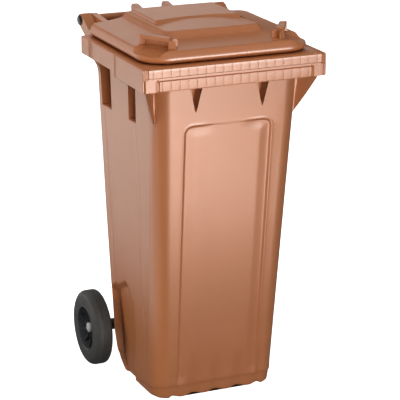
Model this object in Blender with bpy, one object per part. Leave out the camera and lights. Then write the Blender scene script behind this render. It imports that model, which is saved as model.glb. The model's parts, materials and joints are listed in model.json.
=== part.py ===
"""Two-wheeled wheelie bin of the 120 litre class, in metres, +Z up.

The origin is on the ground under the middle of the whole bin. -Y is the front,
where the lid's grips are, and +Y is the side with the handle and the wheels.
"""

import math

import bmesh
import bpy
from mathutils import Matrix, Vector

# ---- driving dimensions -------------------------------------------------------
DEPTH = 0.560  # front of the collar to the back of the lid's hinge ears
FRONT = -DEPTH / 2
RIM_HALF = 0.240
RIM_DEPTH = 0.427
RIM_TOP = 0.894
SKIRT_BOTTOM = 0.838
SKIRT_BOTTOM_REAR = 0.850
SKIRT_STEP = (0.188, 0.212)  # where the skirt's bottom edge steps up, behind its front
SKIRT_WALL = 0.004
MOUTH_HALF = 0.2085
FLANGE = 0.0045
WALL = 0.0035
FLOOR = 0.006
LEDGE_Z = 0.722  # bottom of the open pockets between the side pillars
POCKETS = ((0.176, 0.219), (0.326, 0.387))  # behind the collar's front face
PILLAR_HALF = 0.2375  # the pillars' faces where they meet the skirt
POCKET_HALF = 0.181  # half the width of the tub across the pockets
POCKET_SLOPE = 0.003
FLARE_TOP = 0.846  # the height at which the pillars have curved out to the skirt
CORNER_R, REAR_CORNER_R = 0.042, 0.022
NOTCH_X = 0.088  # the two V-shaped notches in the front wall
NOTCH_APEX, NOTCH_END = 0.770, 0.835
NOTCH_HALF = (0.0035, 0.0150)  # half its width at the apex and at the top
NOTCH_LIP = 0.0015
NOTCH_DEPTH = 0.016
GUSSET_TIP = (0.2280, 0.0205)  # where the corner gussets end at the collar, X and behind its front
GUSSET_FOOT = 0.738
GUSSET_WIDE = 0.0055
FOOT_INSET = 0.004

HINGE_Y = FRONT + 0.529
HINGE_Z = 0.9115
ROD_R = 0.0118
ROD_BORE = 0.0122
ROD_HOLLOW = 0.0080
ARM_OUT, ARM_IN = 0.2030, 0.1735
ARM_BOSS = 0.0165
CAP_R = 0.0130

LUG_OUT, LUG_IN = 0.1725, 0.1560  # the lid's outer hinge lugs, beside the arms
EAR_OUT, EAR_IN = 0.0500, 0.0360  # the lid's two middle ears
LID_BORE = 0.0124
LID_HALF = 0.222
LID_FRONT = FRONT + 0.027
LID_REAR = FRONT + 0.434
LID_FOOT = 0.8945
LID_WALL = 0.0035
BAND_TOP = 0.9255
PLATEAU_TOP = 0.9505
CREST_TOP = 0.9585
GRIP_X, GRIP_Y = 0.168, 0.092  # middle of each corner grip, Y behind the collar's front
GRIP_SPAN, GRIP_WIDE, GRIP_THICK = 0.045, 0.030, 0.004
GRIP_FOOT, GRIP_RISE = 0.9215, 0.0295
GRIP_ALONG = (0.64, 0.77)  # the diagonal that each grip runs along, as shares of X and Y

AXLE_Y = FRONT + 0.432
AXLE_Z = 0.100
AXLE_R = 0.0100
AXLE_HALF = 0.2265
AXLE_BORE = 0.0103
WHEEL_R = 0.100
WHEEL_IN, WHEEL_OUT = 0.1965, 0.2425
RIM_R = 0.0605
HUB_R = 0.0170
HUB_IN, HUB_OUT = 0.1966, 0.2225
BUSH_R = 0.0135
AXLE_LUG_IN, AXLE_LUG_OUT = 0.100, 0.136
AXLE_LUG_R = 0.024
GROOVE_IN, GROOVE_OUT, GROOVE_DEPTH = AXLE_HALF - 0.0035, AXLE_HALF - 0.0020, 0.0008
SPACER_OUT, SPACER_R = 0.1948, 0.0150
INNER_WASHER = (0.1952, 0.1962, 0.0165)  # inner face, outer face, radius
OUTER_WASHER = (HUB_OUT - 0.0005, HUB_OUT + 0.0001, 0.0125)
SPOKES = 10
HUB_CAP_R, HUB_CAP_OUT = 0.0135, 0.2357
HUB_CAP_WALL = 0.0015

GAP = 0.0003
STEPS = 6  # segments in a quarter of a corner
TURN = 24  # segments in a full turned shape
TYRE_TURN = 48

BROWN = (0.395, 0.158, 0.070)
RUBBER = (0.045, 0.043, 0.042)
RIM_BLACK = (0.020, 0.023, 0.027)
BLACK = (0.018, 0.018, 0.020)
GREY = (0.330, 0.320, 0.310)
STEEL = (0.560, 0.570, 0.580)


# ---- scene, materials and meshes ----------------------------------------------
def clear_scene():
    for obj in list(bpy.data.objects):
        bpy.data.objects.remove(obj, do_unlink=True)


def material(name, colour, roughness, metallic=0.0):
    made = bpy.data.materials.new(name)
    made.use_nodes = True
    shader = made.node_tree.nodes["Principled BSDF"]
    shader.inputs["Base Color"].default_value = (*colour, 1.0)
    shader.inputs["Roughness"].default_value = roughness
    shader.inputs["Metallic"].default_value = metallic
    return made


def finish(name, bm, finish_material, sharp=math.radians(32)):
    bmesh.ops.recalc_face_normals(bm, faces=bm.faces)
    mesh = bpy.data.meshes.new(name)
    bm.to_mesh(mesh)
    bm.free()
    mesh.shade_smooth()
    mesh.set_sharp_from_angle(angle=sharp)
    mesh.materials.append(finish_material)
    obj = bpy.data.objects.new(name, mesh)
    bpy.context.scene.collection.objects.link(obj)
    return obj


def helper(name, bm, finish_material):
    """A shape that another object's Boolean uses, and that isn't a sub-part."""
    obj = finish(name, bm, finish_material)
    obj.hide_render = True
    obj.display_type = "WIRE"
    return obj


def combine(obj, others, operation):
    for other in others:
        modifier = obj.modifiers.new(other.name, "BOOLEAN")
        modifier.operation = operation
        modifier.object = other


def loft(rings, closed=False):
    """A skin through rings of equal length, capped at both ends unless it closes on itself."""
    bm = bmesh.new()
    made = [[bm.verts.new(point) for point in ring] for ring in rings]
    pairs = list(zip(made, made[1:]))
    if closed:
        pairs.append((made[-1], made[0]))
    for low, high in pairs:
        for i in range(len(low)):
            j = (i + 1) % len(low)
            bm.faces.new((low[i], low[j], high[j], high[i]))
    if not closed:
        bm.faces.new(list(reversed(made[0])))
        bm.faces.new(made[-1])
    return bm


def at_height(outline, z):
    return [Vector((x, y, z)) for x, y in outline]


def rounded(half, front, rear, r_front, r_rear, steps=STEPS):
    """A rounded rectangle, anticlockwise from the front right corner."""
    corners = (
        (half - r_front, front + r_front, r_front, -90),
        (half - r_rear, rear - r_rear, r_rear, 0),
        (r_rear - half, rear - r_rear, r_rear, 90),
        (r_front - half, front + r_front, r_front, 180),
    )
    points = []
    for x, y, radius, start in corners:
        for i in range(steps + 1):
            angle = math.radians(start + 90 * i / steps)
            points.append((x + radius * math.cos(angle), y + radius * math.sin(angle)))
    return points


def along_x(outline, x_from, x_to):
    """A prism from an outline of (y, z) points, between two values of x."""
    rings = [[Vector((x, y, z)) for y, z in outline] for x in (x_from, x_to)]
    return loft(rings)


def turned_ring(x, radius, y, z, side=1, steps=TURN):
    ring = []
    for i in range(steps):
        angle = math.tau * i / steps
        ring.append(Vector((side * x, y + radius * math.cos(angle), z + radius * math.sin(angle))))
    return ring


def turned(profile, y, z, side=1, steps=TURN, closed=True):
    """A shape turned about a line along X; the profile is (x, radius) points."""
    rings = [turned_ring(x, radius, y, z, side, steps) for x, radius in profile]
    return loft(rings, closed)


def blend(value, low, high):
    """0 below low, 1 above high, and an even ramp between them."""
    return min(1.0, max(0.0, (value - low) / (high - low)))


def between(value, points):
    """Linear interpolation through (value, result) points."""
    for (a, first), (b, second) in zip(points, points[1:]):
        if value <= b:
            return first + (second - first) * blend(value, a, b)
    return points[-1][1]


# ---- tub ------------------------------------------------------------------------
def front_wall_y(z):
    return FRONT + between(z, ((0.0, 0.118), (0.740, 0.046), (RIM_TOP, 0.034)))


def rear_wall_y(z):
    """The rear wall leans in under the axle, so that the bin can tip back on its wheels."""
    lean = ((0.0, 0.350), (0.028, 0.383), (0.052, 0.396), (0.095, 0.408))
    upright = ((0.2, 0.411), (0.46, 0.420), (RIM_TOP, 0.423))
    return FRONT + between(z, lean + upright)


def side_half(y, z):
    """Half the width of the plain wall: it widens upwards, and a little towards the rear."""
    front = between(z, ((0.0, 0.1640), (0.740, 0.1880), (RIM_TOP, 0.1930)))
    rear = between(z, ((0.0, 0.1700), (0.740, 0.2000), (RIM_TOP, 0.2060)))
    return front + (rear - front) * blend(y - FRONT, 0.080, 0.400)


def flare(z):
    """How far the pillars have come out from the plain wall towards the collar's skirt, 0 to 1."""
    curve = ((0.800, 0.0), (0.817, 0.09), (0.829, 0.29), (SKIRT_BOTTOM, 0.55), (FLARE_TOP, 1.0))
    return between(z, curve)


def gusset(side):
    """A front corner's gusset: a solid wedge from the tub's corner out to the collar's corner."""
    rings = []
    for z in (GUSSET_FOOT, SKIRT_BOTTOM, RIM_TOP - 0.003):
        centre_y = front_wall_y(z) + CORNER_R
        centre_x = side_half(FRONT + 0.080, z) - CORNER_R
        inner = (centre_x + 0.034, centre_y - 0.0200)
        outer = (centre_x + 0.0400, centre_y + 0.0360)
        tip = Vector((GUSSET_TIP[0], FRONT + GUSSET_TIP[1]))
        foot = Vector((centre_x + 0.0375, centre_y - 0.0120))
        share = blend(z, GUSSET_FOOT, SKIRT_BOTTOM)
        near = foot.lerp(tip, share)
        far = (foot + Vector((0.0020, 0.0080))).lerp(tip + Vector((0.0, GUSSET_WIDE)), share)
        rings.append([Vector((side * x, y, z)) for x, y in (inner, near, far, outer)])
    return loft(rings)


def pocket_depth(y, z, inset):
    """How far in from the plain wall a point of the side wall is, in a pocket between pillars."""
    if z + inset <= LEDGE_Z + 0.001:
        return 0.0
    return max(0.0, side_half(y, z) - POCKET_HALF)


def pocket_close(z):
    """How far a pocket's wall has come out to the pillars' faces, hidden behind the skirt, 0 to 1."""
    return 0.93 * blend(z, FLARE_TOP, RIM_TOP - 0.002)


def side_ends(z):
    """Where the flat of the side wall starts and ends, between the rounded corners."""
    return front_wall_y(z) + CORNER_R, rear_wall_y(z) - REAR_CORNER_R


def side_y(stop, z):
    """The stop, a distance behind the collar's front at the pockets, in step with the wall's taper."""
    top_start, top_end = side_ends(LEDGE_Z)
    start, end = side_ends(z)
    return start + (end - start) * (FRONT + stop - top_start) / (top_end - top_start)


def half_outline(z, inset):
    """The right half of the tub's section, from the middle of the front to the middle of the rear."""
    front = front_wall_y(z) + inset
    rear = rear_wall_y(z) - inset
    notch = blend(z, NOTCH_APEX, NOTCH_END)
    half_notch = NOTCH_HALF[0] + (NOTCH_HALF[1] - NOTCH_HALF[0]) * notch
    bottom = front + NOTCH_DEPTH * notch
    points = [
        (0.0, front),
        (NOTCH_X - half_notch - inset, front),
        (NOTCH_X - half_notch + NOTCH_LIP - inset, bottom),
        (NOTCH_X + half_notch - NOTCH_LIP + inset, bottom),
        (NOTCH_X + half_notch + inset, front),
    ]
    corner = CORNER_R - inset
    half = side_half(FRONT + 0.080, z) - inset
    for i in range(STEPS + 1):
        angle = math.radians(-90 + 90 * i / STEPS)
        x, y = half - corner + corner * math.cos(angle), front + corner + corner * math.sin(angle)
        points.append((x, y))
    share = flare(z) * (0.5 if inset else 1.0)
    stops = [(points[-1][1] + POCKET_SLOPE, False)]
    for start, end in POCKETS:
        first = side_y(start, z) - inset
        last = min(side_y(end, z) + inset, rear - REAR_CORNER_R - GAP)
        stops += [(first, False), (first + POCKET_SLOPE, True)]
        stops += [(last - POCKET_SLOPE, True), (last, False)]
    for y, in_pocket in stops:
        plain = side_half(y, z) - inset
        pillar = plain + share * (PILLAR_HALF - plain)
        pocket = plain - pocket_depth(y, z, inset)
        pocket += pocket_close(z) * (pillar - pocket)
        points.append((pocket if in_pocket else pillar, y))
    r_rear = REAR_CORNER_R
    plain = side_half(rear, z) - inset
    half = plain + share * (PILLAR_HALF - plain)
    for i in range(STEPS + 1):
        angle = math.radians(90 * i / STEPS)
        x, y = half - r_rear + r_rear * math.cos(angle), rear - r_rear + r_rear * math.sin(angle)
        points.append((x, y))
    points.append((0.0, rear))
    return points


def tub_outline(z, inset=0.0):
    right = half_outline(z, inset)
    left = [(-x, y) for x, y in reversed(right[1:-1])]
    return right + left


def tub_shell():
    """The tub's wall and floor, from the foot up the outside and down the inside."""
    outer = (0.006, 0.028, 0.052, 0.095, 0.200, 0.460, LEDGE_Z, LEDGE_Z + 0.003)
    outer += (NOTCH_APEX, 0.800, 0.817, 0.829, SKIRT_BOTTOM, FLARE_TOP, RIM_TOP - 0.002)
    inner = (RIM_TOP - 0.002, FLARE_TOP, SKIRT_BOTTOM, 0.829, 0.817, 0.800, NOTCH_APEX)
    inner += (LEDGE_Z + 0.003 - WALL, LEDGE_Z - WALL, 0.460, 0.200, 0.095, 0.052, 0.028, FLOOR)
    rings = [at_height(tub_outline(0.0, FOOT_INSET), 0.0)]
    rings += [at_height(tub_outline(z), z) for z in outer]
    rings += [at_height(tub_outline(z, WALL), z) for z in inner]
    return loft(rings)


def with_side_steps(outline, half):
    """The outline with two points more on each side, where the skirt's bottom edge steps up."""
    count = len(outline) // 4
    front_right, rear_right = outline[:count], outline[count : 2 * count]
    rear_left, front_left = outline[2 * count : 3 * count], outline[3 * count :]
    right = [(half, FRONT + y) for y in SKIRT_STEP]
    left = [(-x, y) for x, y in reversed(right)]
    return front_right + right + rear_right + rear_left + left + front_left


def collar():
    """The flange on top and the skirt around it, hollow below, as one closed ring."""

    def ring(inset, z, lift=0.0):
        radius = 0.008 - 0.5 * inset
        rear = FRONT + RIM_DEPTH - inset
        outline = rounded(RIM_HALF - inset, FRONT + inset, rear, radius, radius)
        outline = with_side_steps(outline, RIM_HALF - inset)
        raised_from = FRONT + SKIRT_STEP[1] - GAP
        return [Vector((x, y, z + lift * (y > raised_from))) for x, y in outline]

    mouth = rounded(MOUTH_HALF, FRONT + 0.050, FRONT + 0.412, 0.050, 0.030)
    mouth = with_side_steps(mouth, MOUTH_HALF)
    lift = SKIRT_BOTTOM_REAR - SKIRT_BOTTOM
    rings = [
        at_height(mouth, RIM_TOP),
        ring(0.0020, RIM_TOP),
        ring(0.0, RIM_TOP - 0.0020),
        ring(0.0, SKIRT_BOTTOM, lift),
        ring(SKIRT_WALL, SKIRT_BOTTOM, lift),
        ring(SKIRT_WALL, RIM_TOP - FLANGE),
        at_height(mouth, RIM_TOP - FLANGE),
    ]
    return loft(rings, closed=True)


def arm_outline():
    """Side view of a handle arm as (y, z): from the collar's rear to a round boss on the hinge."""
    root = FRONT + 0.405
    points = [(root, SKIRT_BOTTOM + 0.006), (FRONT + 0.440, SKIRT_BOTTOM + 0.010)]
    for degrees in range(-60, 121, 20):
        angle = math.radians(degrees)
        y, z = HINGE_Y + ARM_BOSS * math.cos(angle), HINGE_Z + ARM_BOSS * math.sin(angle)
        points.append((y, z))
    points += [(FRONT + 0.455, RIM_TOP - 0.001), (root, RIM_TOP - 0.001)]
    return points


def axle_lug_outline():
    """Side view of an axle lug as (y, z): a round eye on a web to the rear wall."""
    points = []
    for degrees in range(-80, 81, 20):
        angle = math.radians(degrees)
        y, z = AXLE_Y + AXLE_LUG_R * math.cos(angle), AXLE_Z + AXLE_LUG_R * math.sin(angle)
        points.append((y, z))
    root = rear_wall_y(AXLE_Z) - 0.002
    points += [(root, AXLE_Z + 0.060), (root, AXLE_Z - 0.006)]
    return points


def body_tub(brown):
    obj = finish("body_tub", tub_shell(), brown)
    added = [helper("add_collar", collar(), brown)]
    for side, word in ((1, "right"), (-1, "left")):
        arm = along_x(arm_outline(), side * ARM_IN, side * ARM_OUT)
        lug = along_x(axle_lug_outline(), side * AXLE_LUG_IN, side * AXLE_LUG_OUT)
        added.append(helper("add_arm_" + word, arm, brown))
        added.append(helper("add_gusset_" + word, gusset(side), brown))
        added.append(helper("add_axle_lug_" + word, lug, brown))
    combine(obj, added, "UNION")
    rod_hole = turned(((-0.25, ROD_BORE), (0.25, ROD_BORE)), HINGE_Y, HINGE_Z, closed=False)
    axle_hole = turned(((-0.15, AXLE_BORE), (0.15, AXLE_BORE)), AXLE_Y, AXLE_Z, closed=False)
    cutters = [helper("cut_rod", rod_hole, brown), helper("cut_axle", axle_hole, brown)]
    combine(obj, cutters, "DIFFERENCE")
    return obj


# ---- lid ------------------------------------------------------------------------
def lid_ring(inset, z, down=0.0):
    """One level of the lid's edge; down shrinks it for the inner skin."""
    gap = inset + down
    outline = rounded(LID_HALF - gap, LID_FRONT + gap, LID_REAR - gap, 0.068 - gap, 0.030 - 0.5 * gap)
    return at_height(outline, z)


def plateau_ring(half, front, rear, z):
    return at_height(rounded(half, FRONT + front, FRONT + rear, 0.014, 0.014), z)


def lid_shell():
    """A downward-open shell: its edge band, its border, the raised panel and the crest behind it."""
    outer = [
        lid_ring(0.013, LID_FOOT),
        lid_ring(0.0, 0.9040),
        lid_ring(0.001, 0.9100),
        lid_ring(0.0075, 0.9230),
        lid_ring(0.0130, BAND_TOP),
        plateau_ring(0.133, 0.128, 0.420, 0.9345),
        plateau_ring(0.122, 0.141, 0.408, PLATEAU_TOP),
        plateau_ring(0.118, 0.222, 0.404, PLATEAU_TOP + 0.001),
        plateau_ring(0.112, 0.236, 0.398, CREST_TOP),
    ]
    inner = [
        plateau_ring(0.109, 0.239, 0.395, CREST_TOP - LID_WALL),
        plateau_ring(0.115, 0.219, 0.401, PLATEAU_TOP + 0.001 - LID_WALL),
        plateau_ring(0.119, 0.144, 0.405, PLATEAU_TOP - LID_WALL),
        plateau_ring(0.130, 0.131, 0.417, 0.9345 - LID_WALL),
        lid_ring(0.0130, BAND_TOP - LID_WALL, 0.003),
        lid_ring(0.0040, 0.9100, 0.003),
        lid_ring(0.0145, LID_FOOT, 0.002),
    ]
    return skin(outer, inner)


def skin(outer, inner):
    """Outer rings from the foot up, inner rings from the top down, joined at the foot."""
    bm = bmesh.new()
    made = [[bm.verts.new(point) for point in ring] for ring in outer + inner]
    split = len(outer)
    pairs = list(zip(made[:split], made[1:split])) + list(zip(made[split:], made[split + 1 :]))
    pairs.append((made[-1], made[0]))
    for low, high in pairs:
        for i in range(len(low)):
            j = (i + 1) % len(low)
            bm.faces.new((low[i], low[j], high[j], high[i]))
    bm.faces.new(made[split - 1])
    bm.faces.new(list(reversed(made[split])))
    return bm


def lug_outline():
    """Side view of an outer hinge lug: a low arm from the lid's rear edge to the rod."""
    radius = ARM_BOSS - 0.0008
    points = [(LID_REAR - 0.020, 0.9045)]
    for degrees in range(-80, 101, 20):
        angle = math.radians(degrees)
        points.append((HINGE_Y + radius * math.cos(angle), HINGE_Z + radius * math.sin(angle)))
    points += [(LID_REAR + 0.015, 0.9215), (LID_REAR - 0.020, 0.9240)]
    return points


def ear_outline():
    """Side view of a middle ear: highest over the rod, and sloping down onto the panel."""
    radius = 0.0165
    points = [(LID_REAR - 0.020, 0.9080), (FRONT + 0.500, 0.9020)]
    for degrees in range(-100, 1, 20):
        angle = math.radians(degrees)
        points.append((HINGE_Y + radius * math.cos(angle), HINGE_Z + radius * math.sin(angle)))
    points += [(-FRONT - 0.003, 0.9200), (-FRONT, 0.9300), (-FRONT - 0.007, 0.9380)]
    points += [(FRONT + 0.540, 0.9390), (FRONT + 0.505, 0.9330), (LID_REAR - 0.020, 0.9300)]
    return points


def grip(side):
    """A diagonal corner grip: an arched strap that stands over the lid's front corner."""
    centre = Vector((side * GRIP_X, FRONT + GRIP_Y, 0.0))
    share_x, share_y = GRIP_ALONG
    along = Vector((-side * share_x, -share_y, 0.0))
    out = Vector((side * share_y, -share_x, 0.0))
    rings = []
    for reach_out, lip in ((-GRIP_WIDE / 2, 0.003), (0.0, 0.0), (GRIP_WIDE / 2, 0.003)):
        arch = []
        for thickness, order in ((0.0, range(9)), (GRIP_THICK, range(8, -1, -1))):
            for step in order:
                angle = math.pi * step / 8
                across, up = math.cos(angle), math.sin(angle)
                reach = math.copysign(abs(across) ** 0.5, across) * (GRIP_SPAN - thickness)
                rise = (GRIP_RISE + lip - thickness) * up ** 0.4
                arch.append((reach, GRIP_FOOT + rise))
        rings.append([centre + along * a + out * reach_out + Vector((0, 0, z)) for a, z in arch])
    return loft(rings)


def lid(brown):
    obj = finish("lid", lid_shell(), brown)
    added = []
    for side, word in ((1, "right"), (-1, "left")):
        lug = along_x(lug_outline(), side * LUG_IN, side * LUG_OUT)
        ear = along_x(ear_outline(), side * EAR_IN, side * EAR_OUT)
        added.append(helper("add_lug_" + word, lug, brown))
        added.append(helper("add_ear_" + word, ear, brown))
        added.append(helper("add_grip_" + word, grip(side), brown))
    combine(obj, added, "UNION")
    rod_hole = turned(((-0.19, LID_BORE), (0.19, LID_BORE)), HINGE_Y, HINGE_Z, closed=False)
    combine(obj, [helper("cut_lid_rod", rod_hole, brown)], "DIFFERENCE")
    return obj


# ---- hinge rod and its caps -----------------------------------------------------
def handle_rod(brown):
    half = ARM_OUT - 0.0005
    profile = [(-half, ROD_R), (half, ROD_R), (half, ROD_HOLLOW), (-half, ROD_HOLLOW)]
    return finish("handle_rod", turned(profile, HINGE_Y, HINGE_Z), brown)


def rod_cap(side, word, black):
    stem = ROD_HOLLOW - GAP
    profile = [(ARM_OUT - 0.022, stem - 0.001), (ARM_OUT - 0.020, stem)]
    profile += [(ARM_OUT + GAP, stem), (ARM_OUT + GAP, CAP_R), (ARM_OUT + 0.002, CAP_R)]
    profile += [(ARM_OUT + 0.0045, CAP_R - 0.002), (ARM_OUT + 0.0062, CAP_R - 0.006)]
    return finish("rod_cap_" + word, turned(profile, HINGE_Y, HINGE_Z, side, closed=False), black)


# ---- axle and wheels ------------------------------------------------------------
def axle(steel):
    """A steel bar with a groove for a snap ring near each chamfered end."""
    groove_r, chamfer = AXLE_R - GROOVE_DEPTH, 0.0008
    right = [(GROOVE_IN, AXLE_R), (GROOVE_IN, groove_r), (GROOVE_OUT, groove_r)]
    right += [(GROOVE_OUT, AXLE_R), (AXLE_HALF - chamfer, AXLE_R), (AXLE_HALF, AXLE_R - chamfer)]
    left = [(-x, radius) for x, radius in reversed(right)]
    return finish("axle", turned(left + right, AXLE_Y, AXLE_Z, closed=False), steel)


def ring_part(name, x_in, x_out, r_out, side, finish_material):
    """A plain ring on the axle."""
    r_in = AXLE_R + GAP
    profile = [(x_in, r_in), (x_in, r_out), (x_out, r_out), (x_out, r_in)]
    return finish(name, turned(profile, AXLE_Y, AXLE_Z, side), finish_material)


def tyre(side, word, rubber):
    inner = RIM_R + GAP
    shoulder = 0.012
    profile = [(WHEEL_IN, inner), (WHEEL_IN, WHEEL_R - 0.020)]
    for x, start in ((WHEEL_IN + shoulder, 180), (WHEEL_OUT - shoulder, 90)):
        for i in range(5):
            angle = math.radians(start - 22.5 * i)
            radius = WHEEL_R - shoulder + shoulder * math.sin(angle)
            profile.append((x + shoulder * math.cos(angle), radius))
    profile += [(WHEEL_OUT, WHEEL_R - 0.020), (WHEEL_OUT - 0.003, inner)]
    return finish("tyre_" + word, turned(profile, AXLE_Y, AXLE_Z, side, TYRE_TURN), rubber)


def rim(side, word, plastic):
    """A barrel for the tyre, a dished web of spokes and a hub, as one moulding."""
    web_in, web_out = WHEEL_IN + 0.015, WHEEL_IN + 0.019
    edge_in, edge_out, inner = WHEEL_IN + 0.003, WHEEL_OUT - 0.003, RIM_R - 0.004
    profile = [(HUB_IN, BUSH_R), (HUB_IN, HUB_R), (web_in, HUB_R), (web_in, inner)]
    profile += [(edge_in, inner), (edge_in, RIM_R), (edge_out, RIM_R), (edge_out, inner)]
    profile += [(web_out, inner), (web_out, HUB_R), (HUB_OUT, HUB_R), (HUB_OUT, BUSH_R)]
    obj = finish("rim_" + word, turned(profile, AXLE_Y, AXLE_Z, side, TYRE_TURN), plastic)
    added = []
    for i in range(SPOKES):
        angle = math.tau * (i + 0.1) / SPOKES
        turn = Matrix.Translation((0.0, AXLE_Y, AXLE_Z)) @ Matrix.Rotation(angle, 4, "X")
        half, r_low, r_high = 0.0015, HUB_R - 0.001, inner + 0.001
        corners = ((-half, r_low), (half, r_low), (half, r_high), (-half, r_high))
        rings = []
        for x in (web_out - 0.001, HUB_OUT - 0.004):
            rings.append([turn @ Vector((side * x, y, z)) for y, z in corners])
        added.append(helper(f"add_spoke_{word}_{i}", loft(rings), plastic))
    combine(obj, added, "UNION")
    return obj


def hub_cap(side, word, grey):
    """A domed push-on cap over the axle's end, open towards the bin."""
    start, crown = HUB_OUT + GAP, HUB_CAP_OUT
    outside = [(start, HUB_CAP_R), (crown - 0.0030, HUB_CAP_R)]
    outside += [(crown - 0.0008, HUB_CAP_R - 0.0030), (crown, HUB_CAP_R - 0.0080)]
    inner = HUB_CAP_R - HUB_CAP_WALL
    inside = [(crown - 0.0025, HUB_CAP_R - 0.0080), (crown - 0.0045, inner - 0.0020), (start, inner)]
    rings = [turned_ring(x, radius, AXLE_Y, AXLE_Z, side) for x, radius in outside + inside]
    return finish("hub_cap_" + word, skin(rings[: len(outside)], rings[len(outside) :]), grey)


def axle_clip(side, word, steel):
    """A snap ring in the axle's groove, open at the bottom."""
    x_in, x_out = GROOVE_IN + GAP, GROOVE_OUT - GAP
    r_in, r_out = AXLE_R - GROOVE_DEPTH + GAP, AXLE_R + 0.0012
    open_half, turns = 30, 20
    rings = []
    for i in range(turns + 1):
        angle = math.radians(-90 + open_half + (360 - 2 * open_half) * i / turns)
        ring = []
        for x, radius in ((x_in, r_in), (x_in, r_out), (x_out, r_out), (x_out, r_in)):
            y, z = AXLE_Y + radius * math.cos(angle), AXLE_Z + radius * math.sin(angle)
            ring.append(Vector((side * x, y, z)))
        rings.append(ring)
    return finish("axle_clip_" + word, loft(rings), steel)


def build():
    clear_scene()
    brown = material("brown_plastic", BROWN, 0.38)
    rubber = material("tyre_rubber", RUBBER, 0.80)
    rim_plastic = material("rim_plastic", RIM_BLACK, 0.45)
    black = material("black_plastic", BLACK, 0.45)
    grey = material("grey_plastic", GREY, 0.50)
    steel = material("zinc_steel", STEEL, 0.35, 1.0)
    body_tub(brown)
    lid(brown)
    handle_rod(brown)
    axle(steel)
    for side, word in ((1, "right"), (-1, "left")):
        rod_cap(side, word, black)
        tyre(side, word, rubber)
        rim(side, word, rim_plastic)
        ring_part("spacer_" + word, AXLE_LUG_OUT + GAP, SPACER_OUT, SPACER_R, side, black)
        ring_part("washer_inner_" + word, *INNER_WASHER, side, steel)
        ring_part("hub_bush_" + word, HUB_IN, HUB_OUT - 0.001, BUSH_R - GAP, side, grey)
        ring_part("washer_outer_" + word, *OUTER_WASHER, side, steel)
        axle_clip(side, word, steel)
        hub_cap(side, word, grey)


build()
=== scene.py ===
"""The looks of a two-wheeled brown wheelie bin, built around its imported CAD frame.

Metres, +Z up, -Y towards the front. The frame gives the main sizes; the finer
outlines repeat the design's own numbers, so each piece lies where its CAD node does.
"""

import json
import math

import bmesh
import bpy
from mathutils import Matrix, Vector


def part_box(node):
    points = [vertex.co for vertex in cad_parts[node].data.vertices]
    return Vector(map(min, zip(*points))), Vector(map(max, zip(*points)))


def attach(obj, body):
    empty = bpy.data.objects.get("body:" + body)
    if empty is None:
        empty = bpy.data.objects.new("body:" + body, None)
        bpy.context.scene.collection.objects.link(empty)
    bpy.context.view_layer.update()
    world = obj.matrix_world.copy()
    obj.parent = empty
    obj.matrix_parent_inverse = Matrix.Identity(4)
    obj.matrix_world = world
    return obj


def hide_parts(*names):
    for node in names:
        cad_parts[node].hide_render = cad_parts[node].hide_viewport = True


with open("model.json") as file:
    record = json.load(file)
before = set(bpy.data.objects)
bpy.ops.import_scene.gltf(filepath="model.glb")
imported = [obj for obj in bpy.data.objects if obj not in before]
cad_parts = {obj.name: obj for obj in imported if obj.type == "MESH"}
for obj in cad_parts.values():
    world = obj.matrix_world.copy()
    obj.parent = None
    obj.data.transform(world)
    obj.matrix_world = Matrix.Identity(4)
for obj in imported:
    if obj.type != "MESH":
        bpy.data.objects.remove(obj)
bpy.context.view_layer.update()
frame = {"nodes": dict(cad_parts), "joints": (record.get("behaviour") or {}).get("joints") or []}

# ---- places from the frame ------------------------------------------------------
TUB_LOW, TUB_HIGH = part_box("body_tub")
LID_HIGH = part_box("lid")[1]
TYRE_LOW, TYRE_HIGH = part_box("tyre_right")
CAP_LOW, CAP_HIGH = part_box("hub_cap_right")
SPACER_LOW, SPACER_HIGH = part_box("spacer_right")
JOINTS = {joint["name"]: Vector(joint["pos_m"]) for joint in frame["joints"]}
HINGE = JOINTS["lid_hinge"]
AXLE = JOINTS["wheel_right_spin"]

FRONT = TUB_LOW.y  # the collar's front face
RIM_HALF = TUB_HIGH.x
WHEEL_R = (TYRE_HIGH.z - TYRE_LOW.z) / 2
WHEEL_IN, WHEEL_OUT = TYRE_LOW.x, TYRE_HIGH.x
SIDES = ((1, "right"), (-1, "left"))

# ---- the tub --------------------------------------------------------------------
RIM_TOP = 0.894
RIM_DEPTH = 0.427
SKIRT_BOTTOM, SKIRT_BOTTOM_REAR = 0.838, 0.850
SKIRT_STEP = (0.188, 0.212)
SKIRT_WALL = 0.004
FLANGE = 0.0045
MOUTH_HALF = 0.2085
MOUTH = (0.050, 0.412)  # front and rear of the mouth, behind the collar's front
WALL = 0.0035
LEDGE_Z = 0.722
POCKETS = ((0.176, 0.219), (0.326, 0.387))
PILLAR_HALF = 0.2370
POCKET_HALF = 0.168
CORNER_R, REAR_CORNER_R = 0.042, 0.022
# where the pillars start to curve out, and where they reach the skirt
FLARE_FOOT, FLARE_TOP = 0.797, 0.8465
NOTCH_X, NOTCH_APEX = 0.088, 0.768
GUSSET_TIP = (0.2290, 0.0200)
GUSSET_FOOT = 0.738


def blend(value, low, high):
    """0 below low, 1 above high, and an even ramp between them."""
    return min(1.0, max(0.0, (value - low) / (high - low)))


def soft(value, low, high):
    """The same ramp with eased ends."""
    t = blend(value, low, high)
    return t * t * (3 - 2 * t)


def between(value, points):
    """Linear interpolation through (value, result) points."""
    for (a, first), (b, second) in zip(points, points[1:]):
        if value <= b:
            return first + (second - first) * blend(value, a, b)
    return points[-1][1]


def bump(distance, width):
    """A smooth hump, 1 at distance 0 and 0 from half the width on."""
    t = abs(distance) / (width / 2)
    return 0.0 if t >= 1 else (1 - t * t) ** 2


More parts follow.
